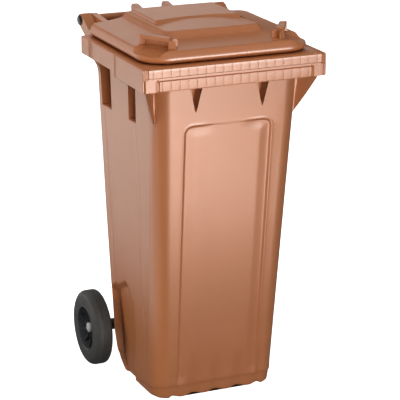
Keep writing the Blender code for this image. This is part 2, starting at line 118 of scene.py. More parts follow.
# ---- meshes ---------------------------------------------------------------------
def add_object(name, mesh, material, body, node=None, sharp=34):
    mesh.shade_smooth()
    mesh.set_sharp_from_angle(angle=math.radians(sharp))
    mesh.materials.append(material)
    obj = bpy.data.objects.new(name, mesh)
    bpy.context.scene.collection.objects.link(obj)
    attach(obj, body)
    if node:
        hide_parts(node)
    return obj


def loft_mesh(name, rings, closed=False, caps=(True, True)):
    """A skin through rings of equal length, with its faces turned outwards."""
    bm = bmesh.new()
    made = [[bm.verts.new(point) for point in ring] for ring in rings]
    pairs = list(zip(made, made[1:]))
    if closed:
        pairs.append((made[-1], made[0]))
    for low, high in pairs:
        for i in range(len(low)):
            j = (i + 1) % len(low)
            bm.faces.new((low[i], low[j], high[j], high[i]))
    if caps[0] and not closed:
        bm.faces.new(list(reversed(made[0])))
    if caps[1] and not closed:
        bm.faces.new(made[-1])
    bmesh.ops.recalc_face_normals(bm, faces=bm.faces)
    mesh = bpy.data.meshes.new(name)
    bm.to_mesh(mesh)
    bm.free()
    return mesh


def bevel(obj, width, segments=2, angle=30):
    modifier = obj.modifiers.new("Bevel", "BEVEL")
    modifier.width = width
    modifier.segments = segments
    modifier.limit_method = "ANGLE"
    modifier.angle_limit = math.radians(angle)
    modifier.harden_normals = True
    return obj


def turned_ring(x, radius, centre, side=1, steps=64):
    ring = []
    for i in range(steps):
        angle = math.tau * i / steps
        y, z = centre.y + radius * math.cos(angle), centre.z + radius * math.sin(angle)
        ring.append(Vector((side * x, y, z)))
    return ring


def turned_mesh(name, profile, centre, side=1, steps=64, closed=True):
    """A shape turned about a line along X; the profile is (x, radius) points."""
    rings = [turned_ring(x, radius, centre, side, steps) for x, radius in profile]
    return loft_mesh(name, rings, closed)


def prism_mesh(name, outline, x_from, x_to):
    """A prism from an outline of (y, z) points, between two values of x."""
    rings = [[Vector((x, y, z)) for y, z in outline] for x in (x_from, x_to)]
    return loft_mesh(name, rings)


# ---- tub wall -------------------------------------------------------------------
def front_wall_y(z):
    return FRONT + between(z, ((0.0, 0.118), (0.740, 0.046), (RIM_TOP, 0.034)))


def rear_wall_y(z):
    lean = ((0.0, 0.350), (0.028, 0.383), (0.052, 0.396), (0.095, 0.408))
    upright = ((0.2, 0.411), (0.46, 0.420), (RIM_TOP, 0.423))
    return FRONT + between(z, lean + upright)


def side_half(y, z):
    """Half the width of the plain wall: it widens upwards, and a little towards the rear."""
    front = between(z, ((0.0, 0.1640), (0.740, 0.1880), (RIM_TOP, 0.1930)))
    rear = between(z, ((0.0, 0.1700), (0.740, 0.2000), (RIM_TOP, 0.2060)))
    return front + (rear - front) * blend(y - FRONT, 0.080, 0.400)


def flare(z):
    """How far the pillars have come out from the plain wall towards the collar's skirt, 0 to 1."""
    rise = blend(z, FLARE_FOOT, FLARE_TOP)
    return 1 - math.sqrt(1 - rise * rise)


def pocket_share(z):
    """How much of a pocket's full depth is reached at this height, over a rounded ledge."""
    ledge = LEDGE_Z
    steps = ((ledge - 0.004, 0), (ledge - 0.002, 0.03), (ledge - 0.0007, 0.1), (ledge, 0.3))
    return between(z, steps + ((ledge + 0.0006, 1),))


def pocket_close(z):
    """How far a pocket's wall has come out to the rim, hidden behind the skirt, 0 to 1."""
    return 0.93 * blend(z, 0.8465, 0.8895)


def side_ends(z):
    return front_wall_y(z) + CORNER_R, rear_wall_y(z) - REAR_CORNER_R


def side_y(stop, z):
    """The stop, a distance behind the collar's front at the pockets, in step with the wall's taper."""
    top_start, top_end = side_ends(LEDGE_Z)
    start, end = side_ends(z)
    return start + (end - start) * (FRONT + stop - top_start) / (top_end - top_start)


PANEL_TOP, PANEL_R = 0.735, 0.022
PANEL_OFFSETS = (-0.0160, -0.0125, -0.0095, -0.0075, -0.0060, -0.0045, -0.0030, -0.0015)
PANEL_OFFSETS += (0.0, 0.0012, 0.0025, 0.0038, 0.0052, 0.0070)


def panel_half(z):
    return 0.111 + 0.005 * blend(z, 0.035, PANEL_TOP)


def panel_relief(x, z):
    """The front panel's moulded edge: a low ridge, a groove inside it, and a slow rise to the panel."""
    half = panel_half(z)
    across, up = half - abs(x), PANEL_TOP - z
    if across < PANEL_R and up < PANEL_R:
        inside = PANEL_R - math.hypot(PANEL_R - across, PANEL_R - up)
        fade = 1.0
    else:
        inside = min(across, up)
        fade = 1.0 if across < up else 0.25 + 0.75 * soft(abs(x), 0.030, 0.080)
    ridge = 0.0009 * bump(inside + 0.0022, 0.0085)
    groove = -0.0028 * soft(inside, -0.0005, 0.0058) * (1 - soft(inside, 0.0065, 0.034))
    return (ridge + groove) * fade * soft(z, 0.038, 0.060)


SIDE_CREASE = ((0.052, 0.374), (0.246, 0.374), (0.302, 0.373), (0.470, 0.364))
SIDE_CREASE += ((0.630, 0.366), (0.716, 0.370))
SIDE_RIDGE = ((0.059, 0.175), (0.256, 0.177), (0.310, 0.178), (0.390, 0.179), (0.523, 0.174))
SIDE_RIDGE += ((0.601, 0.175), (0.702, 0.183))
RECESS = ((0.460, 0.214), (0.420, 0.219), (0.383, 0.228), (0.361, 0.241), (0.347, 0.240), (0.297, 0.265))
RECESS += ((0.284, 0.261), (0.266, 0.248), (0.255, 0.230), (0.244, 0.206), (0.244, 0.151))
RECESS += ((0.251, 0.092), (0.262, 0.054), (0.268, -0.020), (0.460, -0.020))
DEEPER = ((0.460, 0.205), (0.400, 0.215), (0.352, 0.226), (0.345, 0.120), (0.344, -0.020), (0.460, -0.020))


def inside_by(point, outline):
    """How far inside a closed outline a point lies; negative outside."""
    px, py = point
    nearest = 1.0
    crossings = 0
    for (ax, ay), (bx, by) in zip(outline, outline[1:] + outline[:1]):
        dx, dy = bx - ax, by - ay
        t = blend(((px - ax) * dx + (py - ay) * dy) / (dx * dx + dy * dy), 0.0, 1.0)
        nearest = min(nearest, math.hypot(px - ax - t * dx, py - ay - t * dy))
        if (ay > py) != (by > py) and px < ax + dx * (py - ay) / dy:
            crossings += 1
    return nearest if crossings % 2 else -nearest


def wheel_recess(y, z):
    """How far in the wall is pressed beside the wheel."""
    at = (y - FRONT, z)
    if at[0] < 0.20 or z > 0.30:
        return 0.0
    shallow = soft(inside_by(at, RECESS), -0.003, 0.010)
    deep = soft(inside_by(at, DEEPER), -0.003, 0.008)
    rear = rear_wall_y(z) - FRONT
    return (0.009 * shallow + 0.014 * deep) * (1 - soft(at[0], rear - 0.016, rear - 0.011))


def side_relief(y, z):
    """The soft vertical lines of the side wall."""
    behind = y - FRONT
    crease = (
        -0.0011 * bump(behind - between(z, SIDE_CREASE), 0.016)
        * (1 - soft(z, 0.700, 0.722)) * soft(z, 0.21, 0.25)
    )
    ridge = (
        0.0007 * bump(behind - between(z, SIDE_RIDGE), 0.018)
        * soft(z, 0.230, 0.280) * (1 - soft(z, 0.690, 0.720))
    )
    groove = (
        -0.0010 * bump(behind - between(z, SIDE_RIDGE), 0.010)
        * (1 - soft(z, 0.230, 0.280)) * soft(z, 0.045, 0.070)
    )
    return crease + ridge + groove


FOOT_TOP = ((0.080, 0.042), (0.160, 0.026), (0.226, 0.021), (0.258, 0.030), (0.290, 0.042), (0.350, 0.042))


def foot_top(y):
    """Height of the foot band's upper edge, by distance behind the collar's front."""
    return between(y - FRONT, ((0.0, 0.042),) + FOOT_TOP)


def foot_inset(level):
    """How far the foot stands in, by its height as a share of its band, from 0 at the ground."""
    near_ground = ((0.0, 0.0046), (0.06, 0.0032), (0.12, 0.0025))
    near_top = ((0.86, 0.0016), (0.93, 0.0011), (0.98, 0.0005), (1.04, 0.0002), (1.15, 0.0))
    return between(level, near_ground + near_top)


def foot_flute(x, z):
    """Upright hollows in the front wall that run up from the waves of the bottom edge and fade out."""
    wave = 0.5 + 0.5 * math.cos(math.tau * x / 0.062)
    return 0.0042 * wave * wave * (1 - soft(z, 0.020, 0.130)) * (1 - soft(abs(x), 0.120, 0.140))


def foot_lift(x, y):
    """The shallow waves of the bottom edge, always upwards from the ground."""
    run = x if abs(x) < 0.125 else y
    wave = 0.0024 * (1 + math.cos(math.tau * run / 0.062))
    ripple = 0.0008 * (1 + math.cos(math.tau * x / 0.012)) * soft(abs(x), 0.128, 0.138) * (y < FRONT + 0.16)
    return wave * (1 - soft(abs(x), 0.125, 0.140)) + ripple


def spaced(start, end, count):
    """Values after start up to end, end included."""
    return [start + (end - start) * i / count for i in range(1, count + 1)]


def half_section(z, inset):
    """The right half of the tub's section, from the middle of the front to the middle of the rear."""
    front, rear = front_wall_y(z) + inset, rear_wall_y(z) - inset
    notch = blend(z, NOTCH_APEX, SKIRT_BOTTOM)
    reach = 0.0014 + 0.0160 * notch
    depth = 0.032 * soft(z, NOTCH_APEX, 0.790)
    half = side_half(FRONT + 0.080, z) - inset
    corner = CORNER_R - inset
    points = [(0.0, front)]
    edge = NOTCH_X - reach - inset
    points += [(x, front) for x in spaced(0.0, edge, 30)]
    for share in (0.15, 0.5, 0.85):
        points.append((edge + 0.0012 * share, front + depth * share))
    points.append((edge + 0.0014, front + depth))
    other = NOTCH_X + reach + inset
    points += [(x, front + depth) for x in spaced(edge + 0.0014, other - 0.0014, 4)]
    for share in (0.85, 0.5, 0.15):
        points.append((other - 0.0012 * share, front + depth * share))
    points.append((other, front))
    start = half - corner
    ease = soft(z, 0.745, 0.800)
    evenly = spaced(other, start, len(PANEL_OFFSETS) + 1)
    for even, offset in zip(evenly, PANEL_OFFSETS):
        follow = max(other + 0.001, panel_half(z) + offset)
        points.append((follow + (even - follow) * ease, front))
    for i in range(15):
        angle = math.radians(-90 + 90 * i / 14)
        points.append((start + corner * math.cos(angle), front + corner + corner * math.sin(angle)))
    return points + side_section(z, inset, points[-1]) + rear_section(z, inset, rear)


def flare_share(y, z):
    """The flare is full at the pillars' front edges and fades towards their rear edges below the skirt."""
    (front_start, front_end), (rear_start, rear_end) = POCKETS
    back = y - FRONT
    hidden = blend(z, FLARE_TOP, RIM_TOP - 0.0045)
    if back < front_end:
        share = 1 - blend(back, front_start - 0.070, front_start)
    elif back < rear_end:
        share = 1 - blend(back, front_end, rear_start)
    else:
        share = 1.0
    return share + (1 - share) * hidden


def pillar_x(y, z, inset):
    plain = side_half(y, z) - inset
    return plain + flare_share(y, z) * flare(z) * (0.5 if inset else 1.0) * (PILLAR_HALF - plain)


def side_section(z, inset, corner_end):
    """The side wall's points: pillars with two pockets between them."""
    points = []
    rear = rear_wall_y(z) - inset
    start = corner_end[1] + 0.003
    points.append((pillar_x(start, z, inset), start))
    at = start
    for (begin, end), inner_count, pillar_count in zip(POCKETS, (12, 16), (22, 26)):
        first = side_y(begin, z) - inset
        stop = min(side_y(end, z) + inset, rear - REAR_CORNER_R - 0.0003)
        points += [(pillar_x(y, z, inset), y) for y in spaced(at, first - 0.002, pillar_count)]
        points.append((pillar_x(first, z, inset) - 0.0004 * pocket_share(z) * flare(z), first - 0.0004))
        for y in [first + 0.0008] + spaced(first + 0.003, stop - 0.003, inner_count):
            plain = side_half(y, z) - inset
            deep = max(0.0, plain - POCKET_HALF + inset) * pocket_share(z + inset)
            pocket = plain - deep
            pocket += pocket_close(z) * (pillar_x(y, z, inset) - pocket)
            points.append((pocket, y if y > first + 0.001 else first + 0.003))
        points.append((pillar_x(stop, z, inset) - 0.0004 * pocket_share(z) * flare(z), stop + 0.0004))
        at = stop + 0.002
        points.append((pillar_x(at, z, inset), at))
    return points


def rear_section(z, inset, rear):
    points = []
    half = pillar_x(rear, z, inset)
    r = REAR_CORNER_R
    for i in range(9):
        angle = math.radians(90 * i / 8)
        points.append((half - r + r * math.cos(angle), rear - r + r * math.sin(angle)))
    points += [(x, rear) for x in spaced(half - r, 0.0, 14)]
    return points


def shaped(point, z, outer=True):
    """A point of the right half's section in its place in space, with the wall's relief."""
    x, y = point
    front, rear = front_wall_y(z), rear_wall_y(z)
    facing_front = y < front + 0.010 and x < side_half(y, z) - 0.030
    facing_side = x > 0.120 and front + 0.030 < y < rear + 0.010
    if facing_front and outer:
        y -= panel_relief(x, z)
    if facing_front:
        y += foot_flute(x, z)
    if facing_side:
        x -= wheel_recess(y, z)
        if outer:
            x += side_relief(y, z)
    return x, y


def tub_ring(z, inset=0.0, level=None):
    """One level of the wall. In the foot band, level is the share of the band's height."""
    right = []
    for x, y in half_section(z, inset):
        x, y = shaped((x, y), z, outer=not inset)
        height = z
        if level is not None:
            height = foot_top(y) * level
            squeeze = foot_inset(level)
            middle_y = (front_wall_y(z) + rear_wall_y(z)) / 2
            x *= 1 - squeeze / 0.168
            y = middle_y + (y - middle_y) * (1 - squeeze / 0.125)
            height += foot_lift(x, y) * (1 - blend(level, 0.0, 0.5))
        right.append(Vector((x, y, height)))
    left = [Vector((-p.x, p.y, p.z)) for p in reversed(right[1:-1])]
    return right + left


def tub_heights():
    heights = spaced(0.050, 0.270, 48) + spaced(0.270, 0.690, 21)
    heights += [0.698, 0.704, 0.709, 0.713, 0.716, 0.718, 0.720, 0.7213, 0.722, 0.7226, 0.7245, 0.7270]
    heights += spaced(0.7270, 0.7400, 9) + spaced(0.7400, 0.8360, 30) + [0.838, 0.843, 0.860, 0.8895]
    return heights


def gusset_mesh(name, side):
    """A triangular web from the tub's front corner out to the collar's corner, with a rounded rim."""
    bm = bmesh.new()
    rings = []
    tip = Vector(GUSSET_TIP)
    for z in spaced(GUSSET_FOOT - 0.006, SKIRT_BOTTOM, 24) + [RIM_TOP - 0.006]:
        centre = Vector((side_half(FRONT + 0.080, z) - CORNER_R, front_wall_y(z) - FRONT + CORNER_R))
        share = (z - GUSSET_FOOT) / (SKIRT_BOTTOM - GUSSET_FOOT)
        share = min(1.0, share)
        turn = math.radians(27)
        root = centre + Vector((math.cos(turn), -math.sin(turn))) * (CORNER_R - 0.0045)
        lip = centre + Vector((math.cos(turn), -math.sin(turn))) * (
            CORNER_R + 0.0008 * blend(share, -0.05, 0.02)
        )
        lip_out = lip + Vector((0.0012, -0.0002))
        foot = lip_out + Vector((0.0006, 0.0020))
        outer = foot.lerp(tip, max(0.0, share))
        run = (outer - foot)
        back = Vector((0.0, 0.0045)) * blend(share, 0.0, 0.06)
        wall = Vector((side_half(FRONT + 0.125, z) - 0.0012, 0.088 + 0.040 * max(0.0, share)))
        inside = centre + Vector((CORNER_R - 0.010, 0.010))
        face = foot.lerp(outer, 0.5) + Vector((0.0006, 0.0006)) * blend(run.length, 0.0, 0.01)
        ring = [
            root, lip, lip_out, foot.lerp(face, 0.15), face, outer,
            outer + Vector((0.0004, 0.0016)) * blend(share, 0, 0.06),
        ]
        ring += [(outer + back).lerp(wall, t) for t in (0.0, 0.3, 0.65, 1.0)] + [inside]
        rings.append([bm.verts.new((side * p.x, FRONT + p.y, z)) for p in ring])
    count = len(rings[0])
    for low, high in zip(rings, rings[1:]):
        for i in range(count):
            j = (i + 1) % count
            bm.faces.new((low[i], low[j], high[j], high[i]))
    bm.faces.new(rings[0])
    bm.faces.new(list(reversed(rings[-1])))
    bmesh.ops.recalc_face_normals(bm, faces=bm.faces)
    mesh = bpy.data.meshes.new(name)
    bm.to_mesh(mesh)
    bm.free()
    return mesh


def gusset(side, word, brown):
    mesh = gusset_mesh("gusset_" + word, side)
    return add_object("gusset_" + word, mesh, brown, "root", "body_tub", sharp=34)


def tub_wall(brown):
    levels = (0.0, 0.06, 0.12, 0.35, 0.62, 0.86, 0.93, 0.98, 1.04, 1.15)
    rings = [tub_ring(0.042 * level, 0.0, level) for level in levels]
    rings += [tub_ring(z) for z in tub_heights()]
    inner = [0.8895, 0.838, 0.815, 0.795, 0.780, 0.768, 0.745, 0.726, LEDGE_Z + 0.0006 - WALL]
    inner += [LEDGE_Z - 0.002 - WALL, 0.700, 0.600, 0.460, 0.340]
    inner += [0.290, 0.270, 0.250, 0.235, 0.220, 0.200, 0.160, 0.120, 0.080, 0.055, 0.040, 0.022, 0.010]
    rings += [tub_ring(z, WALL) for z in inner]
    mesh = loft_mesh("tub_wall", rings)
    return add_object("tub_wall", mesh, brown, "root", "body_tub", sharp=38)


# ---- collar, arms and axle lugs --------------------------------------------------
RIB_PITCH = 0.0226
BAND_END = 0.2262
LOWER_BAND_END = 0.199
SIDE_SEAMS = (0.188, 0.366)  # behind the collar's front


def rim_outline(half, front, rear, r_front, r_rear, front_stations, side_stations, steps):
    """A rounded rectangle, anticlockwise from the middle of the front; stations are shares of its flats."""
    right = [((half - r_front) * t, front) for t in front_stations]
    for i in range(1, steps + 1):
        angle = math.radians(-90 + 90 * i / steps)
        right.append((
            half - r_front + r_front * math.cos(angle),
            front + r_front + r_front * math.sin(angle),
        ))
    low, high = front + r_front, rear - r_rear
    right += [(half, low + (high - low) * t) for t in side_stations]
    for i in range(1, steps + 1):
        angle = math.radians(90 * i / steps)
        right.append((half - r_rear + r_rear * math.cos(angle), rear - r_rear + r_rear * math.sin(angle)))
    right += [((half - r_rear) * t, rear) for t in (0.75, 0.5, 0.25, 0.0)]
    return right + [(-x, y) for x, y in reversed(right[1:-1])]


def collar_front_stations():
    """Shares of the front flat, with three points across each of the fine ribs' grooves."""
    flat = RIM_HALF - 0.007
    stations = [0.0]
    for k in range(10):
        x = RIB_PITCH * (k + 0.5)
        stations += [(x + d) / flat for d in (-0.0085, -0.0016, -0.0006, 0.0, 0.0006, 0.0016)]
    stations += [x / flat for x in (0.1983, 0.1990, 0.1997, 0.2255, 0.2262, 0.2269)]
    return sorted(stations) + [1.0]


def collar_side_stations():
    span = RIM_DEPTH - 0.014
    seams = SIDE_SEAMS
    stations = [0.04, 0.12, 0.22, 0.32, 0.40]
    stations += [(seams[0] + d - 0.007) / span for d in (-0.0012, 0.0, 0.0012)]
    stations += [(y - 0.007) / span for y in (0.196, 0.204, 0.212, 0.216)] + [0.60, 0.70, 0.78]
    stations += [(seams[1] + d - 0.007) / span for d in (-0.0012, 0.0, 0.0012)]
    return stations + [0.90, 1.0]


def band_inset(x, z):
    """How far the collar's front face stands in: two ribbed bands, a groove between, plain end blocks."""
    groove = ((0.838, 0.0012), (0.8395, 0.0), (0.8632, 0.0), (0.8645, 0.0012))
    groove += ((0.8658, 0.0052), (0.8700, 0.0052))
    bands = between(z, groove + ((0.8716, 0.0012), (0.8730, 0.0), (RIM_TOP, 0.0)))
    end = LOWER_BAND_END if z < 0.8665 else BAND_END
    rib = 0.00030 * max(bump(abs(x) - RIB_PITCH * (k + 0.5), 0.0016) for k in range(10))
    plain = soft(abs(x), end - 0.0006, end + 0.0006)
    return (bands + rib) * (1 - plain) + (0.0020 + min(0.0060, 0.22 * max(0.0, abs(x) - end))) * plain


def collar_ring(inset, z, lift=0.0, dressed=False):
    radius = 0.007 - 0.5 * inset
    front, rear = FRONT + inset, FRONT + RIM_DEPTH - inset
    outline = rim_outline(
        RIM_HALF - inset, front, rear, radius, radius, collar_front_stations(), collar_side_stations(), 8
    )
    ring = []
    for x, y in outline:
        raised = lift * blend(y - FRONT, *SKIRT_STEP)
        if dressed and y < FRONT + 0.004:
            y = max(y, FRONT + band_inset(x, z))
        elif dressed and abs(x) > 0.236:
            seam = max(bump(y - FRONT - place, 0.0024) for place in SIDE_SEAMS)
            x -= math.copysign(0.0007 * seam, x)
        ring.append(Vector((x, y, z + raised)))
    return ring


def mouth_ring(z, grow=0.0):
    outline = rim_outline(
        MOUTH_HALF + grow, FRONT + MOUTH[0] - grow, FRONT + MOUTH[1] + grow, 0.050, 0.030,
        collar_front_stations(), collar_side_stations(), 8,
    )
    return [Vector((x, y, z)) for x, y in outline]


def tub_collar(brown):
    lift = SKIRT_BOTTOM_REAR - SKIRT_BOTTOM
    top = RIM_TOP
    rings = [mouth_ring(top - 0.0008, 0.0), mouth_ring(top, 0.0012)]
    rings += [collar_ring(0.0026, top), collar_ring(0.0011, top - 0.0004)]
    rings += [collar_ring(0.0003, top - 0.0013, 0, True)]
    heights = (0.8915, 0.8860, 0.8745, 0.8730, 0.8716, 0.8700, 0.8679, 0.8658, 0.8645, 0.8632, 0.8560)
    rings += [collar_ring(0.0, z, 0, True) for z in heights]
    rings += [collar_ring(0.0, SKIRT_BOTTOM + 0.0040, lift, True)]
    rings += [collar_ring(0.0, SKIRT_BOTTOM + 0.0010, lift, True)]
    rings += [collar_ring(0.0008, SKIRT_BOTTOM, lift, True)]
    rings += [collar_ring(SKIRT_WALL, SKIRT_BOTTOM, lift), collar_ring(SKIRT_WALL, top - FLANGE)]
    rings.append(mouth_ring(top - FLANGE))
    mesh = loft_mesh("tub_collar", rings, closed=True)
    return add_object("tub_collar", mesh, brown, "root", "body_tub", sharp=40)


def corner_ring(side, word, brown):
    """A faint raised ring, left blank, on top of the rim's front corner."""
    x, y, radius, half = side * 0.2150, FRONT + 0.0240, 0.0170, 0.0008
    low, high = RIM_TOP - 0.0006, RIM_TOP + 0.0005
    rings = []
    for reach, z in ((half, low), (half * 0.9, high), (-half * 0.9, high), (-half, low)):
        ring = []
        for k in range(64):
            angle = math.tau * k / 64
            ring.append(Vector((
                x + (radius + reach) * math.cos(angle),
                y + (radius + reach) * math.sin(angle),
                z,
            )))
        rings.append(ring)
    mesh = loft_mesh("corner_ring_" + word, rings, closed=True)
    return add_object("corner_ring_" + word, mesh, brown, "root", "body_tub", sharp=50)


def bored(obj, cutter_mesh):
    """The object's mesh with another mesh cut out of it."""
    cutter = bpy.data.objects.new(obj.name + "_cut", cutter_mesh)
    bpy.context.scene.collection.objects.link(cutter)
    modifier = obj.modifiers.new("Bore", "BOOLEAN")
    modifier.operation = "DIFFERENCE"
    modifier.object = cutter
    bpy.context.view_layer.update()
    result = obj.evaluated_get(bpy.context.evaluated_depsgraph_get())
    mesh = bpy.data.meshes.new_from_object(result)
    obj.modifiers.clear()
    obj.data = mesh
    bpy.data.objects.remove(cutter)
    mesh.shade_smooth()
    mesh.set_sharp_from_angle(angle=math.radians(34))
    return obj


def boss_arc(centre, radius, start, stop, step=8):
    points = []
    for degrees in range(start, stop + 1, step):
        angle = math.radians(degrees)
        points.append((centre.y + radius * math.cos(angle), centre.z + radius * math.sin(angle)))
    return points


ARM_OUT, ARM_IN = 0.2030, 0.1735
ARM_BOSS = 0.0165
ROD_BORE, LID_BORE = 0.0122, 0.0124


def handle_arm(side, word, brown):
    root = FRONT + 0.405
    outline = [(root, SKIRT_BOTTOM + 0.006), (FRONT + 0.440, SKIRT_BOTTOM + 0.010)]
    outline += boss_arc(HINGE, ARM_BOSS, -60, 120, 9)
    outline += [(FRONT + 0.455, RIM_TOP - 0.001), (root, RIM_TOP - 0.001)]
    mesh = prism_mesh("handle_arm_" + word, outline, side * ARM_IN, side * ARM_OUT)
    obj = add_object("handle_arm_" + word, mesh, brown, "root", "body_tub")
    bored(obj, turned_mesh("bore", ((-0.25, ROD_BORE), (0.25, ROD_BORE)), HINGE, closed=False))
    return bevel(obj, 0.0014)


def axle_lug(side, word, brown):
    outline = boss_arc(AXLE, 0.024, -80, 80)
    root = rear_wall_y(AXLE.z) - 0.002
    outline += [(root, AXLE.z + 0.060), (root, AXLE.z - 0.006)]
    mesh = prism_mesh("axle_lug_" + word, outline, side * 0.100, side * 0.136)
    obj = add_object("axle_lug_" + word, mesh, brown, "root", "body_tub")
    bored(obj, turned_mesh("bore", ((-0.15, 0.0103), (0.15, 0.0103)), AXLE, closed=False))
    return bevel(obj, 0.0012)


# ---- lid ------------------------------------------------------------------------
LID_HALF = 0.222
LID_FRONT, LID_REAR = FRONT + 0.027, FRONT + 0.434
LID_FOOT = 0.8945
LID_WALL = 0.0035
PLATEAU_TOP = 0.9505
CREST_TOP = max(TUB_HIGH.z, LID_HIGH.z)
LUG_OUT, LUG_IN = 0.1725, 0.1560
EAR_OUT, EAR_IN = 0.0500, 0.0360
GRIP_X, GRIP_Y = 0.168, 0.092
GRIP_DIRECTION = Vector((0.520, 0.854))  # from the front end to the rear end, on the right side
FRONT_STEPS, SIDE_STEPS, CORNER_STEPS = 60, 56, 26


def lid_stations():
    """Shares along the lid's sides, evenly spaced."""
    return spaced(0.0, 1.0, SIDE_STEPS)[:-1]


def lid_outline(half, front, rear, r_front, r_rear, bow=0.0):
    """A rounded rectangle, anticlockwise from the middle of the front."""
    def arc(cx, cy, radius, start):
        made = []
        for i in range(CORNER_STEPS + 1):
            angle = math.radians(start + 90 * i / CORNER_STEPS)
            made.append((cx + radius * math.cos(angle), cy + radius * math.sin(angle)))
        return made

    middle = FRONT_STEPS // 2
    right = [((half - r_front) * i / middle, front) for i in range(middle)]
    right += arc(half - r_front, front + r_front, r_front, -90)
    low, high = front + r_front, rear - r_rear
    right += [(half, low + (high - low) * t) for t in lid_stations()]
    right += arc(half - r_rear, rear - r_rear, r_rear, 0)
    right += [((half - r_rear) * (1 - i / middle), rear) for i in range(1, middle + 1)]
    if bow:
        right = [(x, y - bow * max(0.0, 1 - (x / half) ** 2) * (y < front + 0.030)) for x, y in right]
    return right + [(-x, y) for x, y in reversed(right[1:-1])]


def lid_edge(inset, z):
    outline = lid_outline(
        LID_HALF - inset, LID_FRONT + inset, LID_REAR - inset, 0.068 - inset, 0.030 - 0.5 * inset
    )
    return [Vector((x, y, z)) for x, y in outline]


def plateau_edge(half, front, rear, z, radius=0.014):
    outline = lid_outline(half, FRONT + front, FRONT + rear, radius, radius, 0.0035)
    return [Vector((x, y, z)) for x, y in outline]


def grip_place(x, y):
    """Distances of a point along and out from the middle of the nearest corner grip."""
    dx, dy = abs(x) - GRIP_X, y - FRONT - GRIP_Y
    return dx * GRIP_DIRECTION.x + dy * GRIP_DIRECTION.y, dx * GRIP_DIRECTION.y - dy * GRIP_DIRECTION.x


def scooped(point, drop=0.0):
    """The point lowered into the finger scoop under a corner grip."""
    along, out = grip_place(point.x, point.y)
    floor = 0.9215 - 0.0085 * blend(out, -0.006, 0.034) - drop
    share = (1 - soft(abs(along), 0.034, 0.047)) * soft(out, -0.014, -0.002)
    low = min(point.z, floor)
    return Vector((point.x, point.y, point.z + (low - point.z) * share))


def lid_levels():
    """The lid's outer rings from its foot up to the raised panel's edge."""
    edge = ((0.0130, LID_FOOT), (0.0085, 0.8968), (0.0040, 0.8990), (0.0010, 0.9020), (0.0, 0.9045))
    edge += ((0.0, 0.9070), (0.0006, 0.9098), (0.0018, 0.9125), (0.0034, 0.9158), (0.0052, 0.9192))
    edge += ((0.0068, 0.9220), (0.0084, 0.9240), (0.0106, 0.9252), (0.0134, 0.9257))
    rings = [lid_edge(inset, z) for inset, z in edge]
    foot = plateau_edge(0.1350, 0.1260, 0.4220, 0.9352, 0.016)
    start = rings[-1]
    count = 22
    for i in range(1, count):
        t = i / count
        rise = 0.9257 + (0.9352 - 0.9257) * (0.35 * t + 0.65 * t * t)
        ring = [a.lerp(b, t) for a, b in zip(start, foot)]
        rings.append([Vector((p.x, p.y, rise)) for p in ring])
    rings.append(foot)
    return rings


def plateau_levels():
    steps = ((0.1338, 0.1272, 0.4208, 0.9360), (0.1326, 0.1287, 0.4195, 0.9380))
    steps += ((0.1258, 0.1368, 0.4125, 0.9474), (0.1246, 0.1383, 0.4112, 0.9487))
    steps += ((0.1228, 0.1405, 0.4090, 0.9497), (0.1200, 0.1435, 0.4060, 0.9502))
    return [plateau_edge(*step) for step in steps]


CREST_HALF, CREST_REAR = 0.1165, 0.4020


def crest_front(x):
    return 0.2235 + 0.0205 * max(0.0, 1 - (x / CREST_HALF) ** 2)


def top_height(x, y):
    """Height of the raised panel's top, crowned towards the crest, and of the crest behind it."""
    behind = y - FRONT
    forward = blend(behind, 0.141, 0.236)
    crown = max(0.0, 1 - (x / 0.128) ** 2)
    panel = PLATEAU_TOP - 0.0003 + forward * (-0.0030 + 0.0072 * crown)
    front = crest_front(x)
    rise = soft(behind, front - 0.0005, front + 0.0095)
    rise *= soft(CREST_HALF + 0.0005 - abs(x), 0.0, 0.0065) * soft(CREST_REAR - behind, -0.0015, 0.0065)
    crest = CREST_TOP - 0.0002 - 0.0006 * (1 - crown)
    dots = 0.0
    for dot_x, dot_y in ((0.020, 0.190), (0.044, 0.228)):
        dots = max(dots, 0.0009 * bump(math.hypot(x - dot_x, behind - dot_y), 0.010))
    return panel + (crest - panel) * rise + dots * (1 - rise)


def top_patch(ring):
    """Rows of points across the panel inside its edge ring, from the front row to the rear row."""
    half_corner = CORNER_STEPS // 2
    across = FRONT_STEPS + CORNER_STEPS
    along = SIDE_STEPS + CORNER_STEPS
    start = FRONT_STEPS // 2 + half_corner
    right = [ring[start + i] for i in range(along + 1)]
    front = [ring[(start - i) % len(ring)] for i in range(across + 1)]
    rear = [ring[start + along + i] for i in range(across + 1)]
    left = [ring[(start - across - i) % len(ring)] for i in range(along + 1)]
    rows = []
    for j in range(along + 1):
        v = j / along
        row = []
        for i in range(across + 1):
            u = i / across
            side = right[j] * (1 - u) + left[j] * u
            face = front[i] * (1 - v) + rear[i] * v
            corners = (
                (right[0] * (1 - u) + left[0] * u) * (1 - v)
                + (right[-1] * (1 - u) + left[-1] * u) * v
            )
            row.append(side + face - corners)
        rows.append(row)
    return rows


